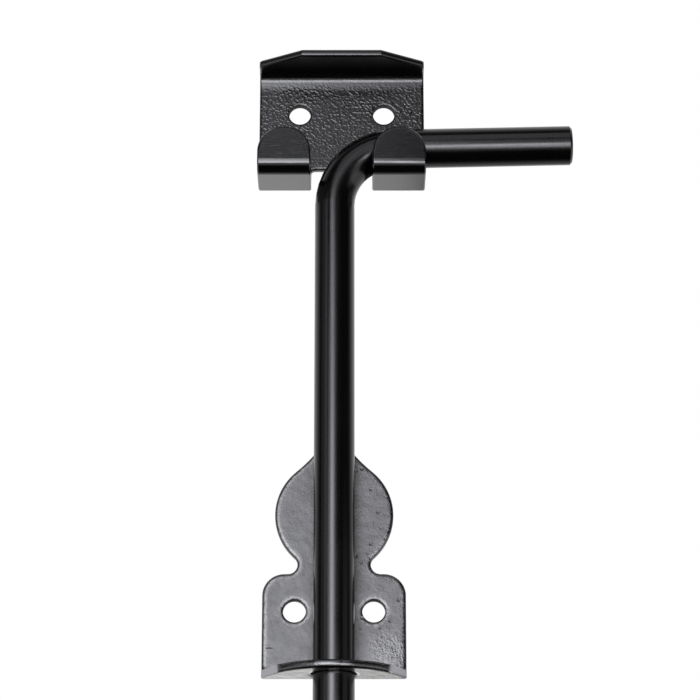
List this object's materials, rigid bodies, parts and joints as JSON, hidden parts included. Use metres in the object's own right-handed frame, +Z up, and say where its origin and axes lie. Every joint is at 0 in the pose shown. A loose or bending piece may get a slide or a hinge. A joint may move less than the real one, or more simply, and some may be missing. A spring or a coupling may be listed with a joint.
{
  "type": "cane bolt",
  "caption": "Drop bolt for a gate or door: a bent round rod hangs by its handle in a hooked sheet bracket and slides through a guide bracket below.",
  "frame": {"origin": "midway between the two screw holes of the holding bracket, on the wall side of its plate", "axes": "+X to the right along the handle, +Y into the wall, +Z up along the rod"},
  "size_m": [0.1017, 0.0205, 0.4831],
  "materials": {
    "holder_coat": "black powder coat, fine rough grain on the plate, satin",
    "rod_coat": "smooth black coat, half gloss",
    "guide_coat": "black powder coat, satin, slightly mottled"
  },
  "bodies": {
    "brackets": {"holding_bracket": "holder_coat", "guide_bracket": "guide_coat"},
    "bolt": {"cane_bolt": "rod_coat"}
  },
  "joints": [
    {"name": "bolt_lift", "type": "slide", "parent": "brackets", "child": "bolt", "axis": [0, 0, 1], "range_m": [0, 0.023]}
  ]
}
